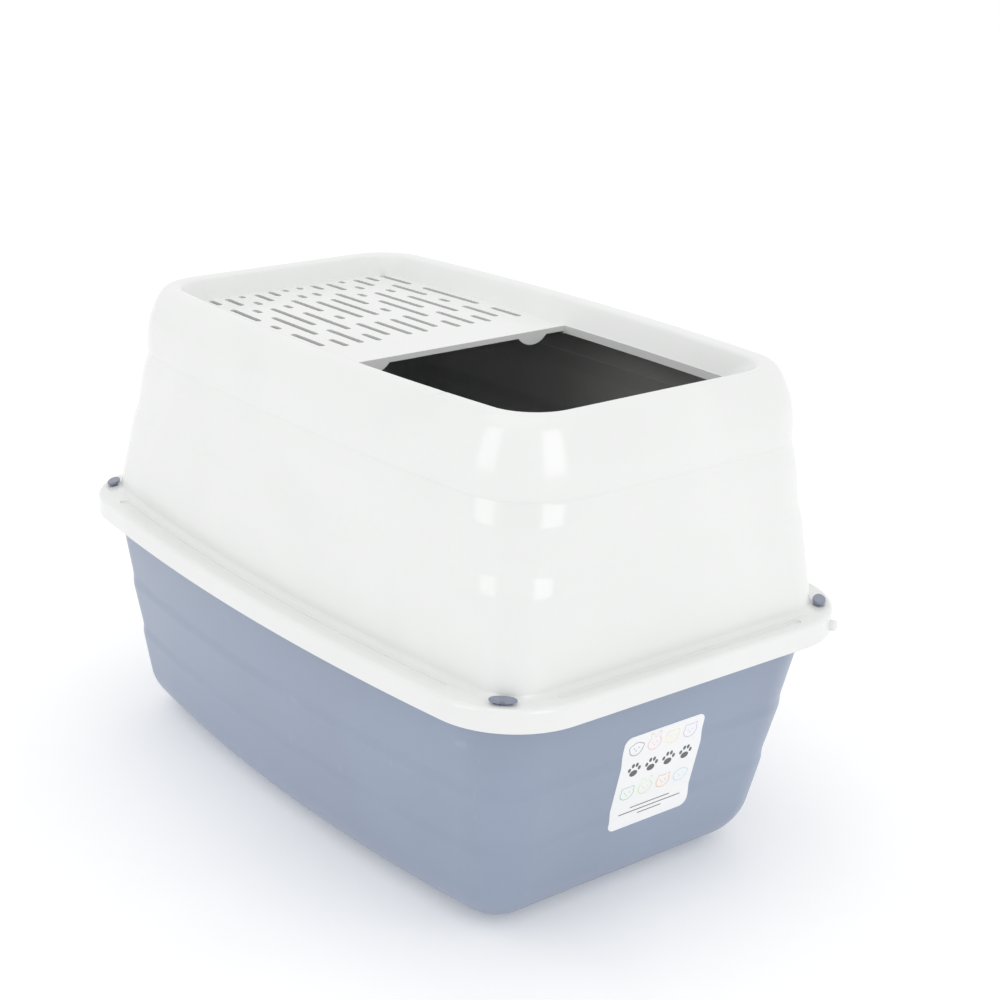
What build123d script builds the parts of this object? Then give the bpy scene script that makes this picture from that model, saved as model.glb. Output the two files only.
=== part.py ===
from build123d import *
import math
import os

# Top-entry cat litter box with hood: tray, hood, four locking pins and a label.
# Millimetres, +Z up, resting on Z = 0.  The short face with the label is -Y,
# the long direction is Y.

# driving dimensions
LENGTH = 580.0           # flange, front to back
FLANGE = (LENGTH / 2, 160.9, 64.0, 19.4)   # half length, half width at the ends, corner, side bow
WALL = 2.6               # moulded wall thickness
SKIRT_Z = 180.6          # lower edge of the hood's skirt
FLANGE_Z = 197.0         # top face of the hood's flange
RIM_Z = 190.4            # top face of the tray's rim, which carries the hood
SHOULDER_Z = 322.2       # the hood wall starts to round over here
TOP_Z = 372.8            # crest of the hood
PANEL_Z = 356.0          # sunken top panel
PANEL_FRONT_Y = -22.0    # front edge of the panel, back edge of the entry opening
RIM_DROP = 6.0           # down-turned lip round the entry opening

TRAY_FOOT = (242.7, 122.8, 33.8, 17.9)     # outline at Z = 0
TRAY_TOP = (271.8, 148.4, 48.5, 18.9)      # outline at RIM_Z
TRAY_SHIFT = 13.5        # the tray's foot sits this far back of its rim
TRAY_BOTTOM_RISE = 36.0  # height of the rounded bottom edge
TRAY_STEPS = ((70.0, 77.0), (116.0, 124.0))   # shallow ledges round the tray wall

HOOD_FOOT = (271.5, 140.3, 28.7, 18.4)     # outline at FLANGE_Z
HOOD_SHOULDER = (255.9, 132.2, 58.2, 13.7)    # outline at SHOULDER_Z
HOOD_SHIFT = -10.5       # the hood's top sits this far forward of its foot
HOOD_INSET = 18.4        # width of the round-over
HOOD_STEPS = ((264.0, 271.0), (309.0, 317.0))
STEP_OUT = 0.65          # each ledge goes from this far outside the mean wall
STEP_IN = -0.65          # to this far inside it
SKIRT_EDGE = 3.0         # rounding of the flange's top edge

DISH_TOP = (231.5, 107.5, 34.0, 13.2)      # outline of the dish at the crest
DISH_KNEE = (229.0, 105.0, 32.0, 12.8)     # outline just below the crest
DISH_KNEE_DROP = 2.2
DISH_FLOOR = (217.0, 98.5, 26.0, 7.0)      # outline of the sunken panel
DISH_SHIFT = -5.0        # the panel sits this far forward of the hood's foot

GUTTER_OUT = 8.0         # the flange's gutter runs between these insets from its edge
GUTTER_IN = 15.0
GUTTER_DEPTH = 1.6
GUTTER_Y = 222.0         # half length of the gutter on the long sides
GUTTER_X = 108.0         # half length of the gutter on the short sides
GUTTER_WALL = 2.0        # material left beside and under the gutter

SLOT_WIDTH = 5.0
SLOT_ROWS = 7            # rows of slots on each half of the panel
SLOT_PITCH = 13.8

PIN_XY = (142.5, 264.5)
PIN_HEAD = (18.4, 9.2, 2.9)
SHANK_R = 2.6
HOLE_R = 2.68            # running clearance of the pin's shank
BOSS_R = 5.6             # boss round each pin hole, under the flange
TAB_X = 73.0             # two rounded tabs hang from the panel's front edge
TAB_R = 17.5
TAB_RISE = 7.1           # centre of a tab's arc, above the panel
BAR_DEPTH = 4.0          # stiffening edge along the panel's front
THUMB_AT = (-116.0, -161.0)   # shallow thumb dip in the left-hand crest
THUMB_R = 22.0
THUMB_DEPTH = 1.5
LUG_AT = (136.5, -277.5)      # pry lug on the skirt at the front right corner
LUG = (16.0, 7.0, 7.0)
LABEL = (73.5, 78.0, 6.0)   # width, height, corner radius
LABEL_AT = (4.0, 99.5)
LABEL_T = 0.25


def outline(size, z, inset=0.0, shift=0.0):
    """Closed wire of a rounded rectangle whose long sides bow outwards."""
    a, b, r, bow = size[0] - inset, size[1] - inset, max(size[2] - inset, 4.0), size[3]
    big = (a * a + bow * bow) / (2 * bow)
    xc = b + bow - big
    fx = xc + math.sqrt((big - r) ** 2 - (a - r) ** 2)
    fy = a - r
    t = math.atan2(fy, fx - xc)
    tx, ty = xc + big * math.cos(t), big * math.sin(t)
    m = (t + math.pi / 2) / 2
    mx, my = fx + r * math.cos(m), fy + r * math.sin(m)

    def at(x, y):
        return Vector(x, y + shift, z)

    return Wire([
        Edge.make_line(at(-fx, -a), at(fx, -a)),
        Edge.make_three_point_arc(at(fx, -a), at(mx, -my), at(tx, -ty)),
        Edge.make_three_point_arc(at(tx, -ty), at(b + bow, 0), at(tx, ty)),
        Edge.make_three_point_arc(at(tx, ty), at(mx, my), at(fx, a)),
        Edge.make_line(at(fx, a), at(-fx, a)),
        Edge.make_three_point_arc(at(-fx, a), at(-mx, my), at(-tx, ty)),
        Edge.make_three_point_arc(at(-tx, ty), at(-b - bow, 0), at(-tx, -ty)),
        Edge.make_three_point_arc(at(-tx, -ty), at(-mx, -my), at(-fx, -a)),
    ])


def mix(p, q, s):
    return tuple(u + (v - u) * s for u, v in zip(p, q))


def prism(size, z0, z1, inset=0.0, shift=0.0):
    return extrude(Face(outline(size, z0, inset, shift)), amount=z1 - z0, dir=(0, 0, 1))


def stepped(steps, z_from, z_to):
    """Heights and sideways offsets of a wall with shallow ledges."""
    levels = [(z_from, 0.0)]
    for low, high in steps:
        levels += [(low, STEP_OUT), (high, STEP_IN)]
    return levels + [(z_to, 0.0)]


# tray ---------------------------------------------------------------
def tray_wire(z, inset):
    s = z / RIM_Z
    return outline(mix(TRAY_FOOT, TRAY_TOP, s), z, inset, TRAY_SHIFT * max(0.0, 1 - s))


def tray_solid(inset, floor, top):
    """Solid bounded by the tray's wall, pulled in by inset."""
    rise = TRAY_BOTTOM_RISE - floor
    lower = []
    for k in range(6):
        t = math.radians(8 + 82 * k / 5)
        z = floor + rise * (1 - math.cos(t)) if k else floor
        lower.append(tray_wire(z, inset + TRAY_BOTTOM_RISE * (1 - math.sin(t))))
    solid = Solid.make_loft(lower, ruled=False)
    walls = [tray_wire(z, inset - off) for z, off in stepped(TRAY_STEPS, TRAY_BOTTOM_RISE, RIM_Z)]
    if top > RIM_Z:
        walls.append(outline(TRAY_TOP, top, inset))
    return solid + Solid.make_loft(walls, ruled=True)


def pin_places():
    for sx, sy in ((-1, -1), (1, -1), (-1, 1), (1, 1)):
        yield sx * PIN_XY[0], sy * PIN_XY[1]


def holes(z0, z1, radius):
    return [Pos(x, y, (z0 + z1) / 2) * Cylinder(radius, z1 - z0) for x, y in pin_places()]


def make_tray():
    body = tray_solid(0.0, 0.0, RIM_Z)
    rim = prism(FLANGE, RIM_Z - WALL, RIM_Z, WALL + 1.2)
    edge = prism(FLANGE, SKIRT_Z + 2, RIM_Z, WALL + 1.2) - prism(FLANGE, SKIRT_Z + 2, RIM_Z, WALL + 3.4)
    body = body + rim + edge - tray_solid(WALL, WALL, RIM_Z + 1)
    for hole in holes(RIM_Z - WALL - 1, RIM_Z + 1, HOLE_R):
        body -= hole
    return body


# hood ---------------------------------------------------------------
def hood_wire(z, inset):
    if z <= SHOULDER_Z:
        s = (z - FLANGE_Z) / (SHOULDER_Z - FLANGE_Z)
        return outline(mix(HOOD_FOOT, HOOD_SHOULDER, s), z, inset, HOOD_SHIFT * s)
    return outline(HOOD_SHOULDER, z, inset, HOOD_SHIFT)


def hood_solid(inset, low, top):
    """Solid bounded by the hood's wall, pulled in by inset, rounded over up to top."""
    walls = [hood_wire(low, inset)]
    walls += [hood_wire(z, inset - off) for z, off in stepped(HOOD_STEPS, FLANGE_Z, SHOULDER_Z)[1:]]
    dome = [hood_wire(SHOULDER_Z, inset)]
    for k in range(1, 7):
        t = math.radians(90 * k / 6)
        dome.append(hood_wire(SHOULDER_Z + (top - SHOULDER_Z) * math.sin(t),
                              inset + HOOD_INSET * (1 - math.cos(t))))
    return Solid.make_loft(walls, ruled=True) + Solid.make_loft(dome, ruled=False)


def dish(grow, floor):
    """Pocket between the crest and the sunken panel."""
    return Solid.make_loft([
        outline(DISH_FLOOR, floor, -grow, DISH_SHIFT),
        outline(DISH_KNEE, TOP_Z - DISH_KNEE_DROP, -grow, HOOD_SHIFT),
        outline(DISH_TOP, TOP_Z + 0.01, -grow, HOOD_SHIFT),
    ], ruled=True)


def channel(inner, outer, z0, z1):
    """Four straight runs between the corner pads, inner and outer inset from the flange edge."""
    ring = prism(FLANGE, z0, z1, outer) - prism(FLANGE, z0, z1, inner)
    grow = GUTTER_OUT - outer
    long_run = Box(2 * LENGTH, 2 * (GUTTER_Y + grow), 60)
    cross_run = Box(2 * (GUTTER_X + grow), 2 * LENGTH, 60)
    return ring & (Pos(0, 0, z0) * (long_run + cross_run))


def slots():
    """Staggered slots in the panel; the rows follow the bow of the sides."""
    patterns = (
        ((206, 165), (148, 75), (58, 22)),
        ((208, 190), (171, 125), (107, 94), (76, 32)),
        ((206, 178), (160, 148), (130, 64), (46, 22)),
        ((208, 200), (184, 172), (156, 90), (72, 24)),
    )
    order = (3, 1, 2, 3, 2, 1, 0)
    half_length, half_width, _, bow = DISH_FLOOR
    out = []
    for k, which in enumerate(order[:SLOT_ROWS]):
        x0 = SLOT_PITCH * (k + 0.5)
        bend = bow * x0 / half_width
        for y1, y0 in patterns[which]:
            mid = (y0 + y1) / 2
            along = (mid - DISH_SHIFT) / half_length
            x = x0 + bend * (1 - along ** 2)
            lean = math.degrees(math.atan(2 * bend * along / half_length))
            for side in (-1, 1):
                shape = SlotOverall(max(y1 - y0, SLOT_WIDTH * 1.3), SLOT_WIDTH)
                at = Pos(side * x, mid, PANEL_Z - WALL - 1) * Rot(0, 0, 90 + side * lean)
                out.append(extrude(at * shape, amount=WALL + 2, dir=(0, 0, 1)))
    return out


def make_hood():
    shell = hood_solid(0.0, FLANGE_Z - 2, TOP_Z) - dish(0.0, PANEL_Z)
    cavity = hood_solid(WALL, SKIRT_Z - 4, TOP_Z - WALL) - dish(WALL, PANEL_Z - WALL)
    skirt = prism(FLANGE, SKIRT_Z, FLANGE_Z)
    skirt = fillet(skirt.edges().group_by(Axis.Z)[-1], SKIRT_EDGE)
    skirt -= prism(FLANGE, SKIRT_Z - 1, FLANGE_Z - WALL, WALL)
    skirt += channel(GUTTER_IN + GUTTER_WALL, GUTTER_OUT - GUTTER_WALL, RIM_Z, FLANGE_Z - WALL)
    skirt -= channel(GUTTER_IN, GUTTER_OUT, FLANGE_Z - GUTTER_DEPTH, FLANGE_Z + 1)
    for boss in holes(RIM_Z, FLANGE_Z - 1, BOSS_R):
        skirt += boss
    hood = skirt + shell - cavity

    front = Pos(0, PANEL_FRONT_Y - 200, TOP_Z) * Box(400, 400, 120)
    mouth = prism(DISH_FLOOR, PANEL_Z - 30, TOP_Z, 0, DISH_SHIFT) & front
    lip = prism(DISH_FLOOR, PANEL_Z - RIM_DROP, PANEL_Z - 0.5, -WALL, DISH_SHIFT) & front
    hood = hood + lip - mouth
    bar = Pos(0, PANEL_FRONT_Y + WALL / 2, PANEL_Z - BAR_DEPTH / 2) * Box(200, WALL, BAR_DEPTH)
    hood += bar & prism(DISH_FLOOR, PANEL_Z - 10, PANEL_Z + 1, -1.0, DISH_SHIFT)
    for side in (-1, 1):
        disc = Rot(90, 0, 0) * Cylinder(TAB_R, WALL)
        tab = Pos(side * TAB_X, PANEL_FRONT_Y + WALL / 2, PANEL_Z + TAB_RISE) * disc
        hood += tab & (Pos(0, 0, PANEL_Z - 21) * Box(400, 400, 40))

    for slot in slots():
        hood -= slot
    dip = Rot(0, 90, 0) * Cylinder(THUMB_R, 30.0)
    hood -= Pos(*THUMB_AT, TOP_Z - THUMB_DEPTH + THUMB_R) * dip
    lug = Pos(*LUG_AT, SKIRT_Z + 6) * Rot(0, 0, -60) * Box(*LUG)
    hood += lug - prism(FLANGE, SKIRT_Z - 1, FLANGE_Z, 0.5)
    for hole in holes(RIM_Z - 1, FLANGE_Z + 1, HOLE_R):
        hood -= hole
    return hood


# pins and label -----------------------------------------------------
def make_pin(x, y):
    length, width, thick = PIN_HEAD
    turn = 135 if x * y > 0 else 45
    head = extrude(SlotOverall(length, width), amount=thick)
    head = fillet(head.edges().group_by(Axis.Z)[-1], 1.1)
    head = Pos(x, y, FLANGE_Z + 1.0) * Rot(0, 0, turn) * head
    reach = width / 2 + 0.6
    ux, uy = math.copysign(math.sqrt(0.5), x), math.copysign(math.sqrt(0.5), y)
    head -= Pos(x + ux * reach, y + uy * reach, FLANGE_Z + 2) * Cylinder(1.9, 8)
    neck = Pos(x, y, FLANGE_Z + 0.5) * Cylinder(3.6, 1.0)
    shank_len = FLANGE_Z - RIM_Z + 9.0
    shank = Pos(x, y, FLANGE_Z - shank_len / 2) * Cylinder(SHANK_R, shank_len)
    shank = chamfer(shank.edges().group_by(Axis.Z)[0], 1.0)
    return head + neck + shank


def make_label():
    width, height, corner = LABEL
    sheet = RectangleRounded(width, height, corner)
    block = extrude(Pos(LABEL_AT[0], -230, LABEL_AT[1]) * Rot(90, 0, 0) * sheet, amount=60, dir=(0, -1, 0))
    skin = tray_solid(-LABEL_T, 0.0, RIM_Z) - tray_solid(0.0, 0.0, RIM_Z)
    return skin & block


def main():
    os.makedirs("parts", exist_ok=True)
    pieces = {"tray": make_tray(), "hood": make_hood(), "label": make_label()}
    names = ("pin_front_left", "pin_front_right", "pin_back_left", "pin_back_right")
    for name, (x, y) in zip(names, pin_places()):
        pieces[name] = make_pin(x, y)
    for name, shape in pieces.items():
        print(name, round(shape.volume / 1000, 2), "cm3", shape.bounding_box())
        export_step(shape, f"parts/{name}.step")


main()
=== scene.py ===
import math
from collections import namedtuple

import bpy
from bpy.props import FloatProperty, FloatVectorProperty, PointerProperty
from mathutils import Matrix, Vector


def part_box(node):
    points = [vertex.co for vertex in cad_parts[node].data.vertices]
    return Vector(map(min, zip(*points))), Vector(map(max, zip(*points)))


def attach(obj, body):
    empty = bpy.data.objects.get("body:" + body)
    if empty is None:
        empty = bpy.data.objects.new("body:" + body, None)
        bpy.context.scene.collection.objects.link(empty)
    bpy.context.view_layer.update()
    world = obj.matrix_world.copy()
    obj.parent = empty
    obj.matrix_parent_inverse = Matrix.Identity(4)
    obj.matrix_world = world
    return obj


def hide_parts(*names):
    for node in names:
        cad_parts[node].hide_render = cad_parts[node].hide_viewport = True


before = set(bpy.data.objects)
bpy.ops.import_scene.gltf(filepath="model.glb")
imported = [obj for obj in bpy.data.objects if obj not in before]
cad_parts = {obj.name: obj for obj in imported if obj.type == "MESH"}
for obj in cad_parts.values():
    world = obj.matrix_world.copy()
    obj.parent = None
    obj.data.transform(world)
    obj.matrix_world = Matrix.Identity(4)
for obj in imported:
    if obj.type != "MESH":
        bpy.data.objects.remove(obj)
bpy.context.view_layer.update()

bl_info = {
    "name": "Litter Box with Hood",
    "version": (1, 0, 0),
    "blender": (4, 5, 0),
    "location": "3D View > Sidebar > Litter Box",
    "description": "Builds a top-entry cat litter box: tray, hood, locking pins and label",
    "category": "Object",
}

Outline = namedtuple("Outline", "half_length half_width corner bow")
Level = namedtuple("Level", "shape z inset shift")

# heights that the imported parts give
hood_low, hood_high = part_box("hood")
tray_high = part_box("tray")[1]
label_low, label_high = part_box("label")
SKIRT_Z = hood_low.z             # lower edge of the hood's skirt
TOP_Z = hood_high.z              # crest of the hood
RIM_Z = tray_high.z              # top of the tray's rim
FLANGE_Z = SKIRT_Z + 0.0164      # top face of the hood's flange
SHOULDER_Z = TOP_Z - 0.0506      # the wall starts to round over here
PANEL_Z = TOP_Z - 0.0168         # sunken top panel

# outlines: rounded rectangles whose long sides bow outwards
FLANGE = Outline(hood_high.y, 0.1609, 0.064, 0.0194)
TRAY_FOOT = Outline(0.2427, 0.1228, 0.0338, 0.0179)
TRAY_TOP = Outline(0.2718, 0.1484, 0.0485, 0.0189)
HOOD_FOOT = Outline(0.2715, 0.1403, 0.0287, 0.0184)
HOOD_SHOULDER = Outline(0.2559, 0.1322, 0.0582, 0.0137)
DISH_TOP = Outline(0.2315, 0.1075, 0.0340, 0.0132)
DISH_KNEE = Outline(0.2290, 0.1050, 0.0320, 0.0128)
DISH_FLOOR = Outline(0.2170, 0.0985, 0.0260, 0.0070)
TRAY_SHIFT = 0.0135              # the tray's foot sits this far back of its rim
HOOD_SHIFT = -0.0105             # the hood's top sits this far forward of its foot
DISH_SHIFT = -0.0050
SMALLEST_CORNER = 0.004
CORNER_STEPS, SIDE_STEPS, END_STEPS = 18, 36, 12

TRAY_LEDGES = ((0.068, 0.079), (0.114, 0.126))
HOOD_LEDGES = ((0.260, 0.275), (0.305, 0.321))
DOME_LEDGES = ((0.345, 0.359),)
TRAY_BOTTOM_RISE = 0.036         # height of the tray's rounded bottom edge
HOOD_INSET = 0.0184              # width of the hood's round-over
CREST_ROLL = ((0.0012, 0.0010), (0.0004, -0.0008), (0.0001, -0.0028))   # drop and inset, inner side
GAP = 0.0005                     # clearance between the hood's underside and the tray's rim

PANEL_FRONT_Y = -0.022           # front edge of the panel, back edge of the entry opening
MOUTH_INSET = 0.0004             # the entry opening's edge, inside the panel's outline
LIP_DROP = 0.006                 # depth of the lip that hangs round the opening
LIP_FRONT, LIP_BACK = 0.0014, 0.0023   # the lip's faces, inside and outside the panel's outline
LIP_END_Y = PANEL_FRONT_Y + 0.012      # where the lip's two ends run into the panel
BAR_DEPTH = 0.004                # stiffening edge along the panel's front
BAR_HALF_LENGTH = 0.1045
SINK = 0.001                     # how far a cutter or an added block reaches past a face
TAB_X, TAB_RADIUS, TAB_RISE = 0.073, 0.0175, 0.0071
TAB_TOP = 0.0011                 # top of the tabs, below the panel's face
SLOT_PITCH, SLOT_WIDTH = 0.0138, 0.005
THUMB_AT = (-0.116, -0.161)
THUMB_RADIUS, THUMB_DEPTH = 0.022, 0.0015
LUG_AT = (0.1365, -0.2775)
LUG = (0.016, 0.007, 0.007)
LUG_RISE, LUG_ROUNDING = 0.006, 0.0022   # its middle, above the skirt's lower edge

PIN_XY = (0.1425, 0.2645)
PIN_HOLE_RADIUS = 0.0029
PIN_NAMES = ("pin_front_left", "pin_front_right", "pin_back_left", "pin_back_right")


# settings -----------------------------------------------------------
def colour(name, description, value):
    """A colour that a user can change."""
    return FloatVectorProperty(name=name, description=description, default=value,
                               subtype="COLOR", size=3, min=0.0, max=1.0)


def length(name, description, value):
    """A size that a user can change."""
    return FloatProperty(name=name, description=description, default=value, unit="LENGTH", min=0.0)


class HoodSettings(bpy.types.PropertyGroup):
    wall: length("Wall", "Thickness of the moulded wall", 0.0026)
    ledge: length("Ledge", "Step of the shallow ledges round the wall", 0.0013)
    skirt_edge: length("Skirt edge", "Rounding of the flange's top edge", 0.0030)
    foot_fillet: length("Foot fillet", "Hollow between the wall and the flange", 0.0036)
    gutter_depth: length("Gutter depth", "Depth of the gutter in the flange", 0.0016)
    gutter_from: length("Gutter from", "Distance of the gutter from the flange's edge", 0.0080)
    gutter_width: length("Gutter width", "Width of the gutter", 0.0070)
    panel_roll: length("Panel roll", "Rounding of the panel's front edge", 0.0024)
    edge: length("Edges", "Rounding of the moulded edges", 0.0005)
    outside: colour("Outside", "White of the moulding", (0.825, 0.835, 0.825))
    # Inside is a darker grey painted on the inner faces as shade; the moulding itself is white inside as
    # well.
    inside: colour("Inside", "Shaded inner face of the moulding", (0.42, 0.42, 0.41))


class TraySettings(bpy.types.PropertyGroup):
    wall: length("Wall", "Thickness of the moulded wall", 0.0026)
    ledge: length("Ledge", "Step of the shallow ledges round the wall", 0.0013)
    rim_drop: length("Rim drop", "Depth of the rim's turned-down edge", 0.0078)
    outside: colour("Outside", "Blue-grey of the tray", (0.287, 0.341, 0.449))
    # Inside is a darker blue-grey painted on the inner faces as shade; the tray is the same plastic inside.
    inside: colour("Inside", "Shaded inner face of the tray", (0.12, 0.14, 0.18))


class PinSettings(bpy.types.PropertyGroup):
    head_length: length("Head length", "Length of the oval head", 0.0184)
    head_width: length("Head width", "Width of the oval head", 0.0092)
    head_thickness: length("Head thickness", "Thickness of the head", 0.0019)
    head_gap: length("Head gap", "Gap under the head", 0.0019)
    head_rounding: length("Head rounding", "Rounding of the head's top edge", 0.0009)
    neck_inset: length("Neck inset", "How far the neck stands inside the head's outline", 0.0028)
    notch_radius: length("Notch radius", "Radius of the notch in the head", 0.0018)
    shank_radius: length("Shank radius", "Radius of the shank", 0.0026)
    shank_depth: length("Shank depth", "Reach of the shank below the tray's rim", 0.009)
    body: colour("Colour", "Blue-grey of the pins", (0.222, 0.243, 0.318))


class LabelSettings(bpy.types.PropertyGroup):
    corner: length("Corner", "Corner radius of the label", 0.006)
    thickness: length("Thickness", "Thickness of the label", 0.00025)
    line: length("Line", "Width of the printed lines", 0.00070)
    paper: colour("Paper", "Label stock", (0.90, 0.905, 0.915))
    print_grey: colour("Print", "Dark grey ink", (0.12, 0.12, 0.13))


class StageSettings(bpy.types.PropertyGroup):
    lens: FloatProperty(name="Lens", description="Camera lens in millimetres", default=67.82, min=1.0)
    camera_at: FloatVectorProperty(name="Camera", description="Place of the camera", subtype="TRANSLATION",
                                   unit="LENGTH", size=3, default=(-0.80986, -1.10430, 0.70303))
    azimuth: FloatProperty(name="Azimuth", description="Turn of the camera about Z", unit="ROTATION",
                           default=math.radians(-36.5624))
    elevation: FloatProperty(name="Elevation", description="Height angle of the camera", unit="ROTATION",
                             default=math.radians(18.4787))
    roll: FloatProperty(name="Roll", description="Roll of the camera", unit="ROTATION",
                        default=math.radians(0.3255))
    shift: FloatVectorProperty(name="Shift", description="Sideways and upward shift of the lens", size=2,
                               default=(0.0530, -0.0206))
    floor: colour("Floor", "Colour of the floor", (0.90, 0.90, 0.90))
    floor_glow: FloatProperty(name="Floor glow", description="Light of the back-lit floor", default=0.20,
                              min=0.0)


# outlines and profiles ----------------------------------------------
def between(p, q, s):
    """The outline a share of the way from one outline to another."""
    return Outline(*(u + (v - u) * s for u, v in zip(p, q)))


def outline_points(shape, inset=0.0, shift=0.0):
    """Points anticlockwise round an outline, from the right end of its front edge."""
    a, b = shape.half_length - inset, shape.half_width - inset
    corner = max(shape.corner - inset, SMALLEST_CORNER)
    side = (a * a + shape.bow ** 2) / (2 * shape.bow)
    side_x = b + shape.bow - side
    corner_x = side_x + math.sqrt((side - corner) ** 2 - (a - corner) ** 2)
    corner_y = a - corner
    turn = math.atan2(corner_y, corner_x - side_x)
    arcs = (
        (corner_x, -corner_y, corner, -math.pi / 2, -turn, CORNER_STEPS),
        (side_x, 0.0, side, -turn, turn, SIDE_STEPS),
        (corner_x, corner_y, corner, turn, math.pi / 2, CORNER_STEPS),
    )
    half = [(corner_x, -a)]
    for cx, cy, radius, start, end, steps in arcs:
        for k in range(1, steps + 1):
            angle = start + (end - start) * k / steps
            half.append((cx + radius * math.cos(angle), cy + radius * math.sin(angle)))
    for k in range(1, END_STEPS):
        half.append((corner_x * (1 - 2 * k / END_STEPS), a))
    return [(x, y + shift) for x, y in half] + [(-x, -y + shift) for x, y in half]


def side_x(shape, y, inset):
    """Half width of an outline at a place along its bowed side."""
    a = shape.half_length - inset
    side = (a * a + shape.bow ** 2) / (2 * shape.bow)
    return shape.half_width - inset + shape.bow - side + math.sqrt(side ** 2 - y ** 2)


def band(path, width, steps=8):
    """Closed outline of a strip along a path, with round ends."""
    points = [Vector(p) for p in path]
    left, right = [], []
    for k, p in enumerate(points):
        along = (points[min(k + 1, len(points) - 1)] - points[max(k - 1, 0)]).normalized()
        across = Vector((-along.y, along.x)) * width / 2
        left.append(p + across)
        right.append(p - across)

    def cap(centre, start):
        spin = (Matrix.Rotation(-math.pi * k / steps, 2) for k in range(1, steps))
        return [centre + turn @ (start - centre) for turn in spin]

    return left + cap(points[-1], left[-1]) + right[::-1] + cap(points[0], right[0])


def ledge_offset(z, ledges, z_from, z_to, step):
    """How far a wall stands outside its mean face: it steps in at each ledge, going up."""
    stops = [(z_from, 0.0)]
    for low, high in ledges:
        stops += [(low, step / 2), (high, -step / 2)]
    stops.append((z_to, 0.0))
    for (z0, d0), (z1, d1) in zip(stops, stops[1:]):
        if z <= z1 + 1e-9:
            s = (z - z0) / (z1 - z0)
            if d1 < d0:
                s = s * s * (3 - 2 * s)
            return d0 + (d1 - d0) * s
    return 0.0


def heights(z_from, z_to, ledges, steps=8):
    """Heights of the rows of a wall, close together at its ledges."""
    found = [z_from, z_to]
    for low, high in ledges:
        found += [low + (high - low) * k / steps for k in range(steps + 1)]
    return sorted(set(found))


def hood_level(z, inset):
    """A row of the hood's wall, which leans in from the flange to the shoulder."""
    s = max(0.0, (z - FLANGE_Z) / (SHOULDER_Z - FLANGE_Z))
    return Level(between(HOOD_FOOT, HOOD_SHOULDER, s), z, inset, HOOD_SHIFT * s)


def quarter(steps):
    """Angles over a quarter turn, both ends included."""
    return [math.pi / 2 * k / steps for k in range(steps + 1)]


def hood_levels(size):
    """Rows of the hood's wall: out over the crest, down the outside, and back up the inside."""
    wall, fillet, edge = size.wall, size.foot_fillet, size.skirt_edge
    rise = TOP_Z - SHOULDER_Z
    rows = [
        Level(DISH_FLOOR, PANEL_Z, 0.0, DISH_SHIFT),
        Level(between(DISH_FLOOR, DISH_KNEE, 0.5), PANEL_Z + (TOP_Z - 0.0024 - PANEL_Z) * 0.5, 0.0,
              (DISH_SHIFT + HOOD_SHIFT) / 2),
        Level(DISH_KNEE, TOP_Z - 0.0026, 0.0, HOOD_SHIFT),
    ]
    rows += [Level(DISH_TOP, TOP_Z - drop, inset, HOOD_SHIFT) for drop, inset in CREST_ROLL]
    for angle in reversed(quarter(30)):
        z = SHOULDER_Z + rise * math.sin(angle)
        out = ledge_offset(z, DOME_LEDGES, SHOULDER_Z, TOP_Z, size.ledge * 0.6)
        rows.append(Level(HOOD_SHOULDER, z, HOOD_INSET * (1 - math.cos(angle)) - out, HOOD_SHIFT))
    for z in reversed(heights(FLANGE_Z + fillet, SHOULDER_Z, HOOD_LEDGES)[:-1]):
        rows.append(hood_level(z, -ledge_offset(z, HOOD_LEDGES, FLANGE_Z, SHOULDER_Z, size.ledge)))
    for angle in quarter(5)[1:]:
        out = fillet * (1 - math.cos(angle))
        rows.append(Level(HOOD_FOOT, FLANGE_Z + fillet * (1 - math.sin(angle)), -out, 0.0))
    for angle in quarter(6):
        rows.append(Level(FLANGE, FLANGE_Z - edge * (1 - math.cos(angle)),
                          edge * (1 - math.sin(angle)), 0.0))
    lower = 0.0007   # rounding of the skirt's lower edge
    for angle in quarter(3):
        rows.append(Level(FLANGE, SKIRT_Z + lower * (1 - math.sin(angle)),
                          lower * (1 - math.cos(angle)), 0.0))
    rows.append(Level(FLANGE, SKIRT_Z, wall - lower / 2, 0.0))
    rows.append(Level(FLANGE, SKIRT_Z + lower / 2, wall, 0.0))
    rows.append(Level(FLANGE, RIM_Z + GAP, wall, 0.0))
    rows.append(Level(HOOD_FOOT, RIM_Z + GAP, wall, 0.0))
    for z in heights(FLANGE_Z, SHOULDER_Z, HOOD_LEDGES, 4):
        rows.append(hood_level(z, wall - ledge_offset(z, HOOD_LEDGES, FLANGE_Z, SHOULDER_Z, size.ledge)))
    for angle in quarter(12)[1:]:
        rows.append(Level(HOOD_SHOULDER, SHOULDER_Z + (rise - wall) * math.sin(angle),
                          wall + HOOD_INSET * (1 - math.cos(angle)), HOOD_SHIFT))
    rows.append(Level(DISH_KNEE, TOP_Z - wall - 0.0030, -wall, HOOD_SHIFT))
    rows.append(Level(DISH_FLOOR, PANEL_Z - wall, -wall, DISH_SHIFT))
    return rows


def tray_level(z, inset):
    """A row of the tray's wall, which opens out from the foot to the rim."""
    s = z / RIM_Z
    return Level(between(TRAY_FOOT, TRAY_TOP, s), z, inset, TRAY_SHIFT * (1 - s))


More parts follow.
